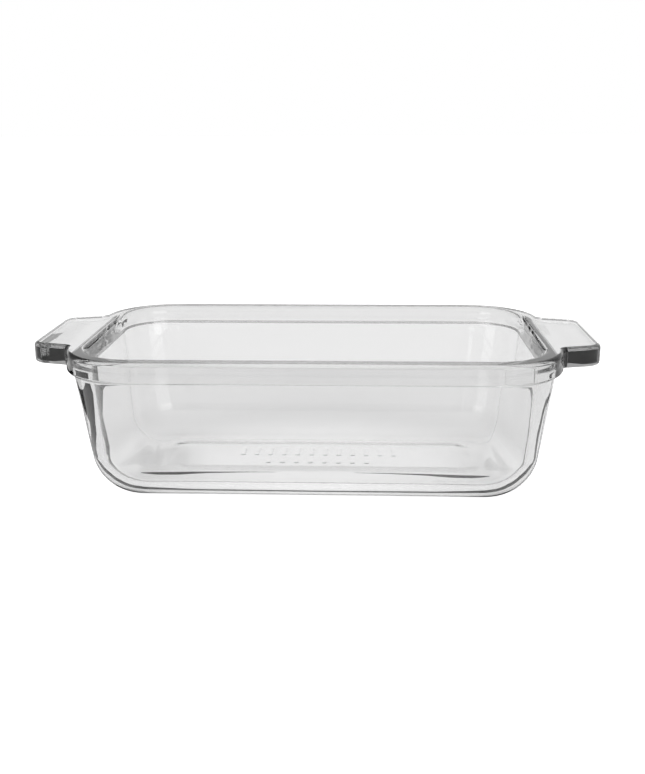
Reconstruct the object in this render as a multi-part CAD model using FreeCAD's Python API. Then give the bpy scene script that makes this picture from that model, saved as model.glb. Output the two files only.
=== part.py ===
"""One-piece pressed-glass loaf dish: a drafted rectangular tub with a thick rim and two slab handles.

Units are millimetres. The length runs along X, the width along Y, and +Z is up. The origin is on the
surface that the dish stands on, under the middle of the dish.
"""
import FreeCAD, Part
import math
import os

# Rim, measured outside and without the handles
rim_length = 240.0
rim_width = 142.0
rim_corner_radius = 35.4
rim_depth = 10.4
rim_overhang = 3.9
rim_top_width = 10.0
rim_top_edge_radius = 2.2
rim_lower_edge_radius = 1.8

# Tub
dish_height = 74.2
wall_corner_radius = 28.0
outer_draft_deg = 7.0
base_corner_radius = 26.5
base_fillet_radius = 23.0
floor_thickness = 5.5
inner_draft_deg = 4.9
cavity_corner_radius = 22.0
cavity_fillet_radius = 17.5
mouth_edge_radius = 3.4

# Handles, one at each end, in one plate with the rim
handle_reach = 20.25
handle_end_width = 62.5
handle_flare_deg = 14.8
handle_corner_radius = 9.0
handle_root_radius = 4.0

# Foot: a flat bearing ring round a shallow hollow in the underside
foot_ring_width = 7.0
foot_hollow_depth = 0.3
foot_hollow_corner_radius = 8.0

# Grip bars: two rows of plain raised bars in the hollow of the foot
bar_pitch = 7.5
bar_width = 3.0
bar_corner_radius = 1.0
bar_height = 0.2
long_bar_count = 12
long_bar_length = 14.0
long_bar_row_y = 17.0
short_bar_count = 8
short_bar_length = 6.0
short_bar_row_y = 0.0

# Worked out from the sizes above
underside_of_rim = dish_height - rim_depth
wall_length = rim_length - 2 * rim_overhang
wall_width = rim_width - 2 * rim_overhang
base_inset = underside_of_rim * math.tan(math.radians(outer_draft_deg))
base_length = wall_length - 2 * base_inset
base_width = wall_width - 2 * base_inset
mouth_length = rim_length - 2 * rim_top_width
mouth_width = rim_width - 2 * rim_top_width
mouth_corner_radius = rim_corner_radius - rim_top_width
cavity_depth = dish_height - floor_thickness
cavity_inset = cavity_depth * math.tan(math.radians(inner_draft_deg))
cavity_length = mouth_length - 2 * cavity_inset
cavity_width = mouth_width - 2 * cavity_inset
flat_inset = base_fillet_radius * math.tan(math.radians(45 - outer_draft_deg / 2)) + foot_ring_width
hollow_length = base_length - 2 * flat_inset
hollow_width = base_width - 2 * flat_inset


def rounded_rectangle(length, width, radius, z):
    """Closed wire: a rectangle with round corners, centred on the Z axis at height z."""
    centre_x = length / 2 - radius
    centre_y = width / 2 - radius
    quadrants = ((1, 1, 0), (-1, 1, 90), (-1, -1, 180), (1, -1, 270))
    arcs = []
    for sign_x, sign_y, start in quadrants:
        arc = []
        for angle in (start, start + 45, start + 90):
            x = sign_x * centre_x + radius * math.cos(math.radians(angle))
            y = sign_y * centre_y + radius * math.sin(math.radians(angle))
            arc.append(FreeCAD.Vector(x, y, z))
        arcs.append(arc)
    edges = []
    for arc, following in zip(arcs, arcs[1:] + arcs[:1]):
        edges.append(Part.Arc(*arc).toShape())
        edges.append(Part.LineSegment(arc[-1], following[0]).toShape())
    return Part.Wire(edges)


def edges_at_height(shape, z):
    """Edges that lie flat at height z."""
    near = 1e-4
    return [e for e in shape.Edges if abs(e.BoundBox.ZMin - z) < near and abs(e.BoundBox.ZMax - z) < near]


def drafted_block(lower, upper, fillet_radius, z_low):
    """Solid with sloping sides between two rounded rectangles, its lower edge rounded."""
    block = Part.makeLoft([lower, upper], True, True)
    return block.makeFillet(fillet_radius, edges_at_height(block, z_low))


def tub():
    """Outside of the tub, from the foot up to the underside of the rim."""
    foot = rounded_rectangle(base_length, base_width, base_corner_radius, 0)
    top = rounded_rectangle(wall_length, wall_width, wall_corner_radius, underside_of_rim)
    return drafted_block(foot, top, base_fillet_radius, 0)


def cavity():
    """Space inside the dish."""
    floor = rounded_rectangle(cavity_length, cavity_width, cavity_corner_radius, floor_thickness)
    mouth = rounded_rectangle(mouth_length, mouth_width, mouth_corner_radius, dish_height)
    return drafted_block(floor, mouth, cavity_fillet_radius, floor_thickness)


def handle_face(side):
    """Outline of one handle, from inside the rim outwards. side is 1 for the +X end, -1 for the other."""
    end_x = rim_length / 2 + handle_reach
    root_x = rim_length / 2 - rim_top_width / 2
    half_end = handle_end_width / 2
    half_root = half_end + (end_x - root_x) * math.tan(math.radians(handle_flare_deg))
    corners = ((root_x, -half_root), (end_x, -half_end), (end_x, half_end), (root_x, half_root))
    points = [FreeCAD.Vector(side * x, side * y, underside_of_rim) for x, y in corners]
    return Part.Face(Part.makePolygon(points + points[:1]))


def flange():
    """Rim and both handles as one plate. Roots and corners are rounded in plan, then the edges."""
    rim_outline = rounded_rectangle(rim_length, rim_width, rim_corner_radius, underside_of_rim)
    outline = Part.Face(rim_outline).multiFuse([handle_face(1), handle_face(-1)]).removeSplitter().Faces[0]
    outline = outline.makeOffset2D(handle_root_radius).makeOffset2D(-handle_root_radius)
    outline = outline.makeOffset2D(-handle_corner_radius).makeOffset2D(handle_corner_radius).Faces[0]
    plate = outline.extrude(FreeCAD.Vector(0, 0, rim_depth))
    plate = plate.makeFillet(rim_top_edge_radius, edges_at_height(plate, dish_height))
    return plate.makeFillet(rim_lower_edge_radius, edges_at_height(plate, underside_of_rim))


def bar_row(count, length, row_y):
    """One row of upright bars that hang from the roof of the foot's hollow."""
    outline = rounded_rectangle(bar_width, length, bar_corner_radius, foot_hollow_depth - bar_height)
    bar = Part.Face(outline).extrude(FreeCAD.Vector(0, 0, bar_height))
    first_x = -(count - 1) / 2 * bar_pitch
    return [bar.translated(FreeCAD.Vector(first_x + index * bar_pitch, row_y, 0)) for index in range(count)]


def foot_hollow():
    """Shallow hollow under the dish, less the grip bars that stay raised in it."""
    outline = rounded_rectangle(hollow_length, hollow_width, foot_hollow_corner_radius, 0)
    hollow = Part.Face(outline).extrude(FreeCAD.Vector(0, 0, foot_hollow_depth))
    bars = bar_row(long_bar_count, long_bar_length, long_bar_row_y)
    bars += bar_row(short_bar_count, short_bar_length, short_bar_row_y)
    return hollow.cut(Part.makeCompound(bars))


def mouth_edges(shape):
    """Inner edge of the rim's flat top: the flat edges there that lie within the mouth's outline."""
    margin = 1e-3
    half_x, half_y = mouth_length / 2, mouth_width / 2
    within = FreeCAD.BoundBox(-half_x, -half_y, dish_height, half_x, half_y, dish_height)
    within.enlarge(margin)
    return [e for e in edges_at_height(shape, dish_height) if within.isInside(e.BoundBox)]


def loaf_dish():
    """The whole dish as one solid, as it is pressed."""
    dish = tub().fuse(flange()).cut(cavity())
    dish = dish.makeFillet(mouth_edge_radius, mouth_edges(dish))
    return dish.cut(foot_hollow()).removeSplitter().Solids[0]


os.makedirs("parts", exist_ok=True)
loaf_dish().exportStep("parts/loaf_dish.step")
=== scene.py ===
import math

import bpy
import numpy as np
from mathutils import Matrix, Vector, noise

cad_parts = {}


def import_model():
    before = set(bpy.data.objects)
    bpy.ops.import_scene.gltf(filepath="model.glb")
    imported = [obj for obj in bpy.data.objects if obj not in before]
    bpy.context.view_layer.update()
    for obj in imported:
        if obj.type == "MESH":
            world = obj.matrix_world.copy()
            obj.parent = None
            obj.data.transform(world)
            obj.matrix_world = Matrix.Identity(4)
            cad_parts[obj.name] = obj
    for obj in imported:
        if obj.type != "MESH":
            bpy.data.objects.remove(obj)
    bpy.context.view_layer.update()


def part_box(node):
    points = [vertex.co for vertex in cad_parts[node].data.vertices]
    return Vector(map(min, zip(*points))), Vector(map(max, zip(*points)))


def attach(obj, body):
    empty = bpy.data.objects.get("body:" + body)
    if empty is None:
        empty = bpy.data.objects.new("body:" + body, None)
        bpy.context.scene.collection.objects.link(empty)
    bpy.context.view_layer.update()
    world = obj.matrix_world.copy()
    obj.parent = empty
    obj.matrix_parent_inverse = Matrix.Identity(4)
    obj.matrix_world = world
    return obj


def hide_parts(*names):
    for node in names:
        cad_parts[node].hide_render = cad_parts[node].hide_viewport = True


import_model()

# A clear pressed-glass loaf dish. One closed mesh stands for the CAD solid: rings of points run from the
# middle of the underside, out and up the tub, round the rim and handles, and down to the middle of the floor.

MM = 0.001

# Overall sizes, in millimetres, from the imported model
low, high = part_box("loaf_dish")
overall_length = (high.x - low.x) / MM
rim_width = (high.y - low.y) / MM
dish_height = (high.z - low.z) / MM

# The dish's other sizes, in millimetres
handle_reach = 20.25
rim_length = overall_length - 2 * handle_reach
rim_corner_radius = 35.4
rim_depth = 10.4
rim_overhang = 3.9
rim_top_width = 10.0
rim_top_edge_radius = 2.2
rim_lower_edge_radius = 1.8
wall_corner_radius = 28.0
outer_draft = math.radians(7.0)
base_corner_radius = 26.5
base_fillet_radius = 23.0
floor_thickness = 5.5
inner_draft = math.radians(4.9)
cavity_corner_radius = 22.0
cavity_fillet_radius = 17.5
mouth_edge_radius = 3.4
handle_end_width = 62.5
handle_flare = math.radians(14.8)
handle_corner_radius = 9.0
handle_root_radius = 4.0
foot_ring_width = 7.0
foot_hollow_depth = 0.3
foot_hollow_corner_radius = 8.0

# Only in this mesh, in millimetres: the step of the foot's hollow is spread this wide, and the wall meets the
# underside of the rim in a curve of this radius
hollow_step_width = 8.0
rim_join_radius = 1.2

# Grip bars in the hollow, in millimetres. Each row has its y, its number of bars and their half length. The
# grid that carries the bars reaches grip_half_length and grip_half_width from the middle
bar_pitch = 7.5
bar_height = 0.14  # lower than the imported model's 0.2, so that the bars show only faintly
bar_half_foot = 1.5
bar_half_top = 0.4
bar_rows = ((17.0, 12, 7.0), (0.0, 8, 3.0))
grip_half_length = 75.0
grip_half_width = 26.5

# How many steps the mesh takes, per quarter of the outline and up each curved face
END_STEPS = 16
CORNER_STEPS = 12
SIDE_STEPS = 10
ROOT_STEPS = 14
RIM_CORNER_STEPS = 44
LONG_SIDE_STEPS = 34
EDGE_STEPS = 8
FILLET_STEPS = 22
WALL_STEPS = 12
FLAT_STEPS = 6
FOOT_STEPS = 4
FLOOR_STEPS = 14
JOIN_STEPS = 5
STEP_STEPS = 12
QUARTER = math.pi / 2
SUPPORT = 0.15  # mm, between the last ring of a flat face and the curve that it meets
floor_patch = 3.0  # mm, half the width of the last flat face in the middle of the floor inside
RIPPLES = ((34.0, 0.05), (13.0, 0.012))  # mm, length and depth of each size of wave

# Glass
GLASS_TINT, GLASS_IOR = 0.975, 1.5
DEPTH_TINT, DEPTH_DENSITY = 0.5, 28.0  # colour of the absorption inside the glass, and its strength per metre
CLOUD_DETAIL = 4.0  # how many finer sizes of blotch the cloudy pattern adds
HAZE, HAZE_SCALE = 0.02, 22.0  # roughness where the surface is least polished, and blotches per metre
HAZE_FROM = (0.45, 0.75)  # part of the cloudy pattern over which the haze sets in
GRAIN_DEPTH, GRAIN_SCALE = 0.004, 130.0  # mm, and waves per metre

# Camera: place in metres, yaw, pitch down and roll in degrees, and lens in millimetres
CAMERA_PLACE = (0.0246, -0.4961, 0.1857)
CAMERA_TURN = (-2.509, 15.98, 0.285)
CAMERA_LENS = 45.52558

# Brightness of the studio, as the glass sees it, by height above the horizon in degrees: straight behind the
# dish, behind it to the left and to the right, beside it, and on the viewer's side
BEHIND = ((-90, 1.0), (33, 0.9), (37, 0.45), (60, 0.45), (75, 0.75))
BEHIND_LEFT = ((-90, 1.0), (13.5, 1.0), (15.5, 0.2), (40, 0.25), (75, 0.75))
BEHIND_RIGHT = ((-90, 1.0), (13.5, 1.0), (17, 0.6), (40, 0.65), (75, 0.75))
BESIDE = ((-90, 0.6), (0, 0.45), (30, 0.5), (75, 0.75))
BEFORE = ((-90, 0.1), (4, 0.02), (24, 0.05), (29, 1.1), (62, 1.1), (75, 0.75))
MIDDLE_EDGES = ((-12, -9), (4, 7))  # degrees of turn over which the part straight behind starts and ends
BEFORE_EDGES = (-0.75, -0.45)  # cosine of the turn from straight behind, from the viewer's side to beside
BEHIND_EDGES = (0.5, 0.75)  # the same cosine, from beside to behind
NEAR_ZERO = 0.001  # keeps the division defined straight up and straight down

# Tall soft lights on the viewer's side: turn from straight behind where each starts and ends, and brightness.
# The last two are one light, because the turn runs from 180 on to -180
PANELS = ((126, 166, 3.0), (-160, -128, 3.0), (170, 184, 0.5), (-184, -166, 0.5))
PANEL_EDGE = 4  # degrees over which a light fades out sideways
PANEL_HEIGHT = ((-90, 0.0), (-4, 0.0), (-2, 1.0), (20, 1.0), (26, 0.0))

# Table: its shade, and how far it reaches and how high it lies in millimetres. Its glow is one value for the
# glass, with more added under the dish as a painted pool of light, and at least another for the camera
FLOOR_BRIGHT, FLOOR_REACH, FLOOR_HEIGHT = 0.8, 6000, -0.3
FLOOR_GLOW, PAINTED_POOL_GLOW, CAMERA_GLOW = 0.35, 0.42, 0.75
UNDER_SQUASH = 0.6  # x counts this much, so the brighter place under the dish is longer than wide
UNDER_EDGES = (0.11, 0.03)  # metres from the middle where it starts and where it is full

# Painted shade: dark pieces that only the glass picks up. Their shade, and their places in millimetres.
# On the table they are bands of painted shade along lines of x, y and half width, and a patch on the left.
# The card stands behind the dish: a painted dark reflection in the near faces of the handles
PAINTED_SHADE = 0.02
STRIP_HEIGHT = -0.1
# Bands of painted shade round the foot of the dish and out to the right, a crescent of it under the front, and
# a patch of it to the left
EDGE_STRIP = (
    (0, -43.4, 0.9), (60, -43.8, 1.0), (76, -44.8, 1.4), (88, -45.8, 1.8), (100, -43, 2.5), (111, -37, 3),
    (120, -26, 4), (126, -18, 5), (134, -2, 5), (147, 14, 6),
)
CRESCENT = (
    (20, -25, 0.3), (36, -25.5, 0.7), (56, -27, 1.3), (70, -29, 2.2), (80, -29.5, 2.0), (90, -29, 0.4),
)
RIGHT_STRIP = (
    (166, 25, 7), (186, 38, 9), (202, 58, 9), (222, 78, 10), (234, 104, 11), (226, 150, 11), (208, 195, 10),
    (204, 240, 6),
)
LEFT_PATCH = (
    (-132, 2), (-152, 0), (-168, 13), (-186, 12), (-200, 6), (-225, 8), (-250, 4), (-285, 2),
    (-320, 30), (-320, 70), (-285, 110), (-262, 160), (-250, 240), (-230, 270), (-208, 250),
    (-216, 200), (-218, 150), (-214, 110), (-210, 60), (-195, 54), (-170, 52), (-145, 38),
)
CARD_X, CARD_Z, CARD_Y = (-142, 136), (124, 161), 300

# How often light may pass or bounce in the glass
GLASS_BOUNCES, GLOSS_BOUNCES = 32, 16


def arc(centre, radius, start, end, steps, side=1):
    """Points and outward angles along an arc, without its last point. side -1 is a hollow curve."""
    points, angles = [], []
    for step in range(steps):
        angle = start + (end - start) * step / steps
        away_x, away_y = side * radius * math.cos(angle), side * radius * math.sin(angle)
        points.append((centre[0] + away_x, centre[1] + away_y))
        angles.append(angle)
    return points, angles


def mirrored(points, angles):
    """Whole closed outline and its outward directions, from the quarter with x and y above zero."""
    quarter = np.array(points)
    outward = np.c_[np.cos(angles), np.sin(angles)]

    def all_round(part):
        second = (part * [-1, 1])[::-1]
        fourth = (part * [1, -1])[::-1]
        return np.concatenate([part[:-1], second[:-1], -part[:-1], fourth[:-1]])

    return all_round(quarter), all_round(outward)


def flange_quarter():
    """Quarter of the outline of rim and handle, and how far along the end each point of it lies."""
    half_length, half_width = rim_length / 2, rim_width / 2
    end_x, end_y = half_length + handle_reach, handle_end_width / 2
    slope = np.array([math.sin(handle_flare), math.cos(handle_flare)])
    side_line = slope @ [end_x, end_y]
    corner_x = end_x - handle_corner_radius
    corner_y = (side_line - handle_corner_radius - slope[0] * corner_x) / slope[1]
    rim_centre = np.array([half_length - rim_corner_radius, half_width - rim_corner_radius])
    reach = rim_corner_radius + handle_root_radius
    root_angle = math.asin((side_line + handle_root_radius - slope @ rim_centre) / reach) - handle_flare
    root_centre = rim_centre + reach * np.array([math.cos(root_angle), math.sin(root_angle)])
    side_angle = QUARTER - handle_flare
    points = [(end_x, corner_y * step / END_STEPS) for step in range(END_STEPS)]
    angles = [0.0] * END_STEPS
    for more in (
        arc((corner_x, corner_y), handle_corner_radius, 0, side_angle, CORNER_STEPS),
        straight(
            (corner_x, corner_y) + handle_corner_radius * slope,
            root_centre - handle_root_radius * slope, side_angle, SIDE_STEPS,
        ),
        arc(root_centre, handle_root_radius, side_angle, root_angle, ROOT_STEPS, side=-1),
        arc(rim_centre, rim_corner_radius, root_angle, QUARTER, RIM_CORNER_STEPS),
        straight((rim_centre[0], half_width), (0, half_width), QUARTER, LONG_SIDE_STEPS),
    ):
        points += more[0]
        angles += more[1]
    points.append((0, half_width))
    angles.append(QUARTER)
    end_count = END_STEPS + CORNER_STEPS + SIDE_STEPS + ROOT_STEPS
    along = [points[index][1] / points[end_count][1] for index in range(end_count)]
    return points, angles, along


def straight(start, end, angle, steps):
    """Points along a line, without its last point, and the outward angle at each."""
    run = [tuple(np.array(start) + (np.array(end) - start) * step / steps) for step in range(steps)]
    return run, [angle] * steps


def rectangle(half_length, half_width, radius, along):
    """Rounded rectangle with as many points as the flange's outline, and its outward directions."""
    points, angles = [], []
    for share in along:
        points.append((half_length, (half_width - radius) * share))
        angles.append(0.0)
    centre = (half_length - radius, half_width - radius)
    for more in (
        arc(centre, radius, 0, QUARTER, RIM_CORNER_STEPS),
        straight((centre[0], half_width), (0, half_width), QUARTER, LONG_SIDE_STEPS),
    ):
        points += more[0]
        angles += more[1]
    points.append((0, half_width))
    angles.append(QUARTER)
    return mirrored(points, angles)


def ring(flat, z):
    """Points of one ring: a flat outline at height z, which may differ from point to point."""
    return np.c_[flat, np.broadcast_to(z, len(flat))]


def between(start, end, steps):
    """Rings from one ring to another, without either of them, crowded towards both."""
    made = []
    for step in range(1, steps):
        share = (1 - math.cos(math.pi * step / steps)) / 2
        made.append(start + (end - start) * share)
    return made


def slope_of(upper, lower, outward, height):
    """Angle from upright of the wall between two outlines, at each point."""
    return np.arctan(((upper - lower) * outward).sum(1) / height)


def rolled(lower, outward, slope, radius, z_low):
    """Rings of the fillet between a flat face at z_low and a sloping wall, from the flat upwards."""
    shift = radius * (np.tan(slope) - 1 / np.cos(slope))
    centre = lower + outward * shift[:, None]
    made = []
    for step in range(FILLET_STEPS + 1):
        angle = -QUARTER + (QUARTER - slope) * step / FILLET_STEPS
        flat = centre + outward * (radius * np.cos(angle))[:, None]
        made.append(ring(flat, z_low + radius * (1 + np.sin(angle))))
    return made


def rim_join(wall, outward, slope, z):
    """Rings of the small hollow curve where the wall runs into the underside of the rim."""
    centre = wall + outward * (rim_join_radius * np.tan((QUARTER - slope) / 2))[:, None]
    made = []
    for step in range(JOIN_STEPS + 1):
        angle = 2 * QUARTER - slope - (QUARTER - slope) * step / JOIN_STEPS
        flat = centre + outward * (rim_join_radius * np.cos(angle))[:, None]
        made.append(ring(flat, z - rim_join_radius * (1 - np.sin(angle))))
    return made


def foot_rings(foot, along):
    """Rings from the roof of the foot's hollow, down its step and out over the flat bearing ring."""
    half_x, half_y = foot[:, 0].max() - foot_ring_width, foot[:, 1].max() - foot_ring_width
    outline, outward = rectangle(half_x, half_y, foot_hollow_corner_radius, along)
    made = []
    for step in range(STEP_STEPS + 1):
        share = step / STEP_STEPS
        flat = outline + outward * (hollow_step_width * (share - 0.5))
        made.append(ring(flat, foot_hollow_depth * (1 + math.cos(math.pi * share)) / 2))
    return made + between(made[-1], foot, FOOT_STEPS)


def grip_grid():
    """Roof of the foot's hollow with its grip bars: points, quads, and the edge's points in ring order."""
    half_columns = LONG_SIDE_STEPS + RIM_CORNER_STEPS // 2
    half_rows = END_STEPS + CORNER_STEPS + SIDE_STEPS + ROOT_STEPS + RIM_CORNER_STEPS // 2
    bars = bar_rows[0][1]
    crossings = [-bar_half_foot, -(bar_half_foot + bar_half_top) / 2, -bar_half_top]
    crossings += [-value for value in reversed(crossings)]
    lines = [(bar - (bars - 1) / 2) * bar_pitch + value for bar in range(bars) for value in crossings]
    lines += [(bar - bars / 2) * bar_pitch for bar in range(bars + 1)]
    lines = sorted(lines)
    spare = (2 * half_columns + 1 - len(lines)) // 2
    margin = np.linspace(grip_half_length, lines[-1], spare + 1)[:-1]
    columns = np.r_[-margin, lines, margin[::-1]]
    rows = np.linspace(-grip_half_width, grip_half_width, 2 * half_rows + 1)
    x, y = np.meshgrid(columns, rows, indexing="ij")
    height = np.full(x.shape, foot_hollow_depth)
    soft = bar_half_foot - bar_half_top
    for row_y, count, half_length in bar_rows:
        for bar in range(count):
            across = np.abs(x - (bar - (count - 1) / 2) * bar_pitch)
            along = np.abs(y - row_y) - half_length + bar_half_foot
            away = np.hypot(across, np.maximum(along, 0))
            share = np.clip((bar_half_foot - away) / soft, 0, 1)
            height -= bar_height * share * share * (3 - 2 * share)
    points = np.c_[x.ravel(), y.ravel(), height.ravel()]
    index = np.arange(x.size).reshape(x.shape)
    quads = np.stack([index[:-1, :-1], index[:-1, 1:], index[1:, 1:], index[1:, :-1]], -1).reshape(-1, 4)
    east = index[-1, half_rows:-1]
    north = index[:0:-1, -1]
    west = index[0, :0:-1]
    south = index[:-1, 0]
    edge = np.r_[east, north, west, south, index[-1, :half_rows]]
    return points, quads, edge


def dish_rings():
    """Every ring of the dish, from the foot, out and up, over the rim, and down to the floor."""
    points, angles, along = flange_quarter()
    flange, flange_out = mirrored(points, angles)
    rim_bottom = dish_height - rim_depth
    wall_x, wall_y = rim_length / 2 - rim_overhang, rim_width / 2 - rim_overhang
    inset = rim_bottom * math.tan(outer_draft)
    wall, outward = rectangle(wall_x, wall_y, wall_corner_radius, along)
    base, _ = rectangle(wall_x - inset, wall_y - inset, base_corner_radius, along)
    slope = slope_of(wall, base, outward, rim_bottom)
    tub = rolled(base, outward, slope, base_fillet_radius, 0)
    made = foot_rings(tub[0], along) + tub
    join = rim_join(wall, outward, slope, rim_bottom)
    made += between(made[-1], join[0], WALL_STEPS) + join

    def flange_ring(inward, z):
        return ring(flange - flange_out * inward, z)

    made.append(flange_ring(rim_lower_edge_radius + SUPPORT, rim_bottom))
    for step in range(EDGE_STEPS + 1):
        angle = QUARTER * step / EDGE_STEPS
        inward = rim_lower_edge_radius * (1 - math.sin(angle))
        made.append(flange_ring(inward, rim_bottom + rim_lower_edge_radius * (1 - math.cos(angle))))
    for step in range(EDGE_STEPS + 1):
        angle = QUARTER * step / EDGE_STEPS
        inward = rim_top_edge_radius * (1 - math.cos(angle))
        made.append(flange_ring(inward, dish_height - rim_top_edge_radius * (1 - math.sin(angle))))

    mouth_x, mouth_y = rim_length / 2 - rim_top_width, rim_width / 2 - rim_top_width
    depth = dish_height - floor_thickness
    inset = depth * math.tan(inner_draft)
    mouth, outward = rectangle(mouth_x, mouth_y, rim_corner_radius - rim_top_width, along)
    floor, _ = rectangle(mouth_x - inset, mouth_y - inset, cavity_corner_radius, along)
    slope = slope_of(mouth, floor, outward, depth)
    lip = mouth + outward * (mouth_edge_radius * (1 / np.cos(slope) - np.tan(slope)))[:, None]
    made.append(flange_ring(rim_top_edge_radius + SUPPORT, dish_height))
    made += between(made[-1], ring(lip + outward * SUPPORT, dish_height), FLAT_STEPS)
    made.append(ring(lip + outward * SUPPORT, dish_height))
    for step in range(EDGE_STEPS + 1):
        angle = (QUARTER - slope) * step / EDGE_STEPS
        flat = lip - outward * (mouth_edge_radius * np.sin(angle))[:, None]
        made.append(ring(flat, dish_height - mouth_edge_radius * (1 - np.cos(angle))))
    inner = rolled(floor, outward, slope, cavity_fillet_radius, floor_thickness)[::-1]
    half_x, half_y = inner[-1][:, 0].max(), inner[-1][:, 1].max()
    shrink = half_y - floor_patch
    middle, _ = rectangle(half_x - shrink, floor_patch, floor_patch / 2, along)
    middle = ring(middle, floor_thickness)
    made += between(made[-1], inner[0], WALL_STEPS) + inner
    return made + between(made[-1], middle, FLOOR_STEPS) + [middle]


def quads_between(first, second):
    """Quads between two closed loops of points with as many points each."""
    return np.c_[first, np.roll(first, -1), np.roll(second, -1), second].tolist()


def dish_mesh():
    """The dish's mesh in metres: the grip grid underneath, quads between the rings, and the floor inside."""
    rings = dish_rings()
    points, quads, edge = grip_grid()
    here = np.arange(len(edge))
    loops = [edge] + [len(points) + index * len(edge) + here for index in range(len(rings))]
    faces = quads.tolist()
    for first, second in zip(loops, loops[1:]):
        faces += quads_between(first, second)
    faces.append(loops[-1].tolist())
    mesh = bpy.data.meshes.new("loaf_dish_glass")
    mesh.from_pydata((np.concatenate([points] + rings) * MM).tolist(), [], faces)
    mesh.shade_smooth()
    ripple(mesh)
    return mesh


def ripple(mesh):
    """Presses very slight waves into the surface, always inwards, as in pressed and fire-polished glass."""
    places = np.empty(len(mesh.vertices) * 3, np.float32)
    mesh.vertices.foreach_get("co", places)
    places = places.reshape(-1, 3)
    normals = np.empty(places.size, np.float32)
    mesh.vertex_normals.foreach_get("vector", normals)
    depths = []
    for place in places:
        spot = Vector(place / MM)
        depth = sum(size * (1 + noise.noise(spot / length)) / 2 for length, size in RIPPLES)
        depths.append(depth * MM)
    moved = places - normals.reshape(-1, 3) * np.array(depths)[:, None]
    mesh.vertices.foreach_set("co", moved.astype(np.float32).ravel())
    mesh.update()


def speckle(tree, place, scale):
    """Cloudy pattern in the object's own space."""
    cloud = tree.nodes.new("ShaderNodeTexNoise")
    cloud.inputs["Scale"].default_value = scale
    cloud.inputs["Detail"].default_value = CLOUD_DETAIL
    tree.links.new(place, cloud.inputs["Vector"])
    return cloud.outputs["Fac"]


def clear_glass():
    """Clear pressed glass: almost colourless on thin walls, greyer where light runs a long way through it."""
    material = bpy.data.materials.new("clear_glass")
    material.use_nodes = True
    tree = material.node_tree
    shader = tree.nodes["Principled BSDF"]
    shader.inputs["Base Color"].default_value = grey(GLASS_TINT)
    shader.inputs["IOR"].default_value = GLASS_IOR
    shader.inputs["Transmission Weight"].default_value = 1.0
    place = tree.nodes.new("ShaderNodeTexCoord").outputs["Object"]
    haze = tree.nodes.new("ShaderNodeMapRange")
    haze.inputs["From Min"].default_value, haze.inputs["From Max"].default_value = HAZE_FROM
    haze.inputs["To Min"].default_value, haze.inputs["To Max"].default_value = 0.0, HAZE
    tree.links.new(speckle(tree, place, HAZE_SCALE), haze.inputs["Value"])
    tree.links.new(haze.outputs["Result"], shader.inputs["Roughness"])
    grain = tree.nodes.new("ShaderNodeBump")
    grain.inputs["Strength"].default_value = 1.0
    grain.inputs["Distance"].default_value = GRAIN_DEPTH * MM
    tree.links.new(speckle(tree, place, GRAIN_SCALE), grain.inputs["Height"])
    tree.links.new(grain.outputs["Normal"], shader.inputs["Normal"])
    depth = tree.nodes.new("ShaderNodeVolumeAbsorption")
    depth.inputs["Color"].default_value = grey(DEPTH_TINT)
    depth.inputs["Density"].default_value = DEPTH_DENSITY
    tree.links.new(depth.outputs["Volume"], tree.nodes["Material Output"].inputs["Volume"])
    return material


def camera():
    """Camera half a metre in front of the dish and a little above it, looking slightly down."""
    yaw, pitch, roll = (math.radians(angle) for angle in CAMERA_TURN)
    ahead = Vector((math.sin(yaw) * math.cos(pitch), math.cos(yaw) * math.cos(pitch), -math.sin(pitch)))
    right = Vector((math.cos(yaw), -math.sin(yaw), 0))
    down = ahead.cross(right)
    rolled_right = right * math.cos(roll) + down * math.sin(roll)
    rolled_down = down * math.cos(roll) - right * math.sin(roll)
    data = bpy.data.cameras.new("camera")
    data.lens = CAMERA_LENS
    eye = bpy.data.objects.new("camera", data)
    turned = Matrix((rolled_right, -rolled_down, -ahead)).transposed().to_4x4()
    eye.matrix_world = Matrix.Translation(Vector(CAMERA_PLACE)) @ turned
    bpy.context.scene.collection.objects.link(eye)
    bpy.context.scene.camera = eye


def grey(bright):
    """Neutral colour of one brightness."""
    return (bright, bright, bright, 1)


def math_node(tree, operation, *values):
    """A Math node's output. Each value is a number or another node's output."""
    node = tree.nodes.new("ShaderNodeMath")
    node.operation = operation
    for socket, value in zip(node.inputs, values):
        if isinstance(value, (int, float)):
            socket.default_value = value
        else:
            tree.links.new(value, socket)
    return node.outputs[0]


def length_node(tree, first, second):
    """Length of a flat vector from its two parts."""
    squares = [math_node(tree, "POWER", part, 2.0) for part in (first, second)]
    return math_node(tree, "SQRT", math_node(tree, "ADD", *squares))


def height_ramp(tree, height, stops):
    """Brightness by height above the horizon. Stops are pairs of degrees and brightness."""
    ramp = tree.nodes.new("ShaderNodeValToRGB")
    elements = ramp.color_ramp.elements
    elements.remove(elements[1])
    for index, (degrees, bright) in enumerate(stops):
        place = (math.sin(math.radians(degrees)) + 1) / 2
        element = elements[0] if index == 0 else elements.new(place)
        element.position = place
        element.color = grey(bright)
    tree.links.new(height, ramp.inputs["Fac"])
    return ramp.outputs["Color"]


def eased(tree, value, low, high):
    """How far a value has come from low to high, eased at both ends."""
    ease = tree.nodes.new("ShaderNodeMapRange")
    ease.interpolation_type = "SMOOTHSTEP"
    ease.inputs["From Min"].default_value = low
    ease.inputs["From Max"].default_value = high
    tree.links.new(value, ease.inputs["Value"])
    return ease.outputs["Result"]


def mixed(tree, factor, first, second):
    """Colour between two others. Each is a node's output or a plain colour."""
    node = tree.nodes.new("ShaderNodeMix")
    node.data_type = "RGBA"
    tree.links.new(factor, node.inputs["Factor"])
    for socket, value in ((node.inputs["A"], first), (node.inputs["B"], second)):
        if hasattr(value, "is_linked"):
            tree.links.new(value, socket)
        else:
            socket.default_value = value
    return node.outputs["Result"]


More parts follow.
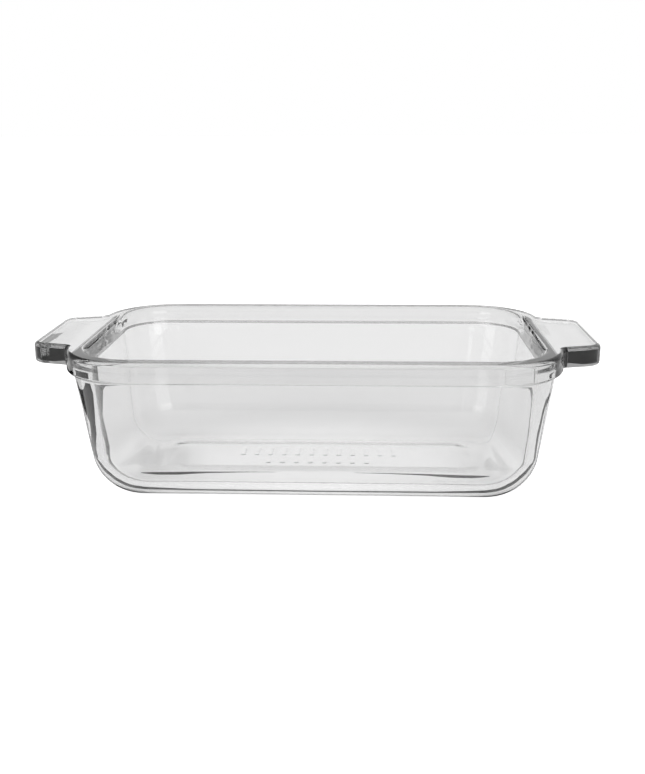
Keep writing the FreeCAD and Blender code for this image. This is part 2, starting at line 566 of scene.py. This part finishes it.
def world():
    """Studio light, which changes with height and direction. The camera itself sees plain white."""
    sky = bpy.data.worlds.new("studio")
    sky.use_nodes = True
    tree = sky.node_tree
    split = tree.nodes.new("ShaderNodeSeparateXYZ")
    tree.links.new(tree.nodes.new("ShaderNodeTexCoord").outputs["Generated"], split.inputs[0])
    x, y, z = split.outputs
    height = math_node(tree, "MULTIPLY_ADD", z, 0.5, 0.5)
    flat = math_node(tree, "SUBTRACT", 1.0, math_node(tree, "MULTIPLY", z, z))
    level = math_node(tree, "MAXIMUM", math_node(tree, "SQRT", flat), NEAR_ZERO)
    facing = math_node(tree, "DIVIDE", y, level)
    turn = math_node(tree, "ARCTAN2", x, y)
    parts = (BEFORE, BESIDE, BEHIND_LEFT, BEHIND, BEHIND_RIGHT)
    ramps = [height_ramp(tree, height, stops) for stops in parts]
    edges = [[math.radians(edge) for edge in pair] for pair in MIDDLE_EDGES]
    middle, right = (eased(tree, turn, *pair) for pair in edges)
    around = mixed(tree, eased(tree, facing, *BEFORE_EDGES), ramps[0], ramps[1])
    behind = mixed(tree, middle, ramps[2], ramps[3])
    behind = mixed(tree, right, behind, ramps[4])
    around = mixed(tree, eased(tree, facing, *BEHIND_EDGES), around, behind)
    edge = math.radians(PANEL_EDGE)
    for start, end, bright in PANELS:
        start, end = math.radians(start), math.radians(end)
        sides = (eased(tree, turn, start, start + edge), eased(tree, turn, end, end - edge))
        inside = math_node(tree, "MULTIPLY", *sides)
        inside = math_node(tree, "MULTIPLY", inside, height_ramp(tree, height, PANEL_HEIGHT))
        around = mixed(tree, inside, around, grey(bright))
    seen = tree.nodes.new("ShaderNodeLightPath").outputs["Is Camera Ray"]
    tree.links.new(mixed(tree, seen, around, grey(1)), tree.nodes["Background"].inputs["Color"])
    bpy.context.scene.world = sky


def matt(name, bright, glow=0.0):
    """Plain matt finish for the studio."""
    made = bpy.data.materials.new(name)
    made.use_nodes = True
    shader = made.node_tree.nodes["Principled BSDF"]
    shader.inputs["Base Color"].default_value = grey(bright)
    shader.inputs["Roughness"].default_value = 1.0
    shader.inputs["Specular IOR Level"].default_value = 0.0
    shader.inputs["Emission Color"].default_value = grey(1)
    shader.inputs["Emission Strength"].default_value = glow
    return made


def stage_mesh(name, points, faces, material):
    """A flat stage piece from points in millimetres."""
    mesh = bpy.data.meshes.new(name)
    mesh.from_pydata([(x * MM, y * MM, z * MM) for x, y, z in points], [], faces)
    mesh.materials.append(material)
    made = bpy.data.objects.new(name, mesh)
    bpy.context.scene.collection.objects.link(made)
    return made


def hidden_stage_mesh(name, points, faces, material):
    """A stage piece that only the glass picks up."""
    made = stage_mesh(name, points, faces, material)
    made.visible_camera = made.visible_diffuse = made.visible_shadow = False


def painted_shade_strip(name, line, side, material):
    """Band of painted shade on the table, seen only by the glass, along a line of (x, y, half width). side -1
    mirrors it to the left.
    """
    centre = np.array(line, float)
    centre[:, 0] *= side
    along = np.gradient(centre[:, :2], axis=0)
    across = np.c_[-along[:, 1], along[:, 0]] / np.hypot(along[:, 0], along[:, 1])[:, None]
    edges = [centre[:, :2] + across * sign * centre[:, 2:] for sign in (-1, 1)]
    points = [(x, y, STRIP_HEIGHT) for x, y in np.concatenate(edges)]
    count = len(line)
    faces = [(step, step + 1, count + step + 1, count + step) for step in range(count - 1)]
    hidden_stage_mesh(name, points, faces, material)


def painted_reflection_card():
    """Dark sheet that stands behind the dish, seen only by the glass: a painted dark reflection for the near
    faces of the handles to pick up.
    """
    (left, right), (bottom, top) = CARD_X, CARD_Z
    corners = [(left, CARD_Y, bottom), (right, CARD_Y, bottom), (right, CARD_Y, top), (left, CARD_Y, top)]
    hidden_stage_mesh("painted_reflection_card", corners, [(0, 1, 2, 3)], matt("painted_reflection_card", PAINTED_SHADE))


def floor():
    """Plain table, brighter to the glass under the dish in a painted pool of light, and the shapes of painted
    shade on it.
    """
    pale = matt("floor", FLOOR_BRIGHT, FLOOR_GLOW)
    tree = pale.node_tree
    seen = tree.nodes.new("ShaderNodeLightPath").outputs["Is Camera Ray"]
    split = tree.nodes.new("ShaderNodeSeparateXYZ")
    tree.links.new(tree.nodes.new("ShaderNodeNewGeometry").outputs["Position"], split.inputs[0])
    across = math_node(tree, "MULTIPLY", split.outputs[0], UNDER_SQUASH)
    away = length_node(tree, across, split.outputs[1])
    under = math_node(tree, "MULTIPLY_ADD", eased(tree, away, *UNDER_EDGES), PAINTED_POOL_GLOW, FLOOR_GLOW)
    glow = math_node(tree, "MAXIMUM", math_node(tree, "MULTIPLY", seen, CAMERA_GLOW), under)
    tree.links.new(glow, tree.nodes["Principled BSDF"].inputs["Emission Strength"])
    signs = ((-1, -1), (1, -1), (1, 1), (-1, 1))
    corners = [(x * FLOOR_REACH, y * FLOOR_REACH, FLOOR_HEIGHT) for x, y in signs]
    stage_mesh("floor", corners, [(0, 1, 2, 3)], pale)
    dark = matt("painted_shade_strip", PAINTED_SHADE)
    painted_shade_strip("strip_right", EDGE_STRIP + RIGHT_STRIP, 1, dark)
    painted_shade_strip("strip_left", EDGE_STRIP, -1, dark)
    painted_shade_strip("painted_shade_crescent_right", CRESCENT, 1, dark)
    painted_shade_strip("painted_shade_crescent_left", CRESCENT, -1, dark)
    patch = [(x, y, STRIP_HEIGHT) for x, y in LEFT_PATCH]
    hidden_stage_mesh("strip_far_left", patch, [range(len(patch))], dark)


camera()
glass = bpy.data.objects.new("loaf_dish_glass", dish_mesh())
bpy.context.scene.collection.objects.link(glass)
glass.data.materials.append(clear_glass())
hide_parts("loaf_dish")
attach(glass, "root")
world()
floor()
painted_reflection_card()
bpy.context.scene.view_settings.view_transform = "Standard"
bpy.context.scene.cycles.use_denoising = True
bpy.context.scene.cycles.max_bounces = GLASS_BOUNCES
bpy.context.scene.cycles.transmission_bounces = GLASS_BOUNCES
bpy.context.scene.cycles.glossy_bounces = GLOSS_BOUNCES
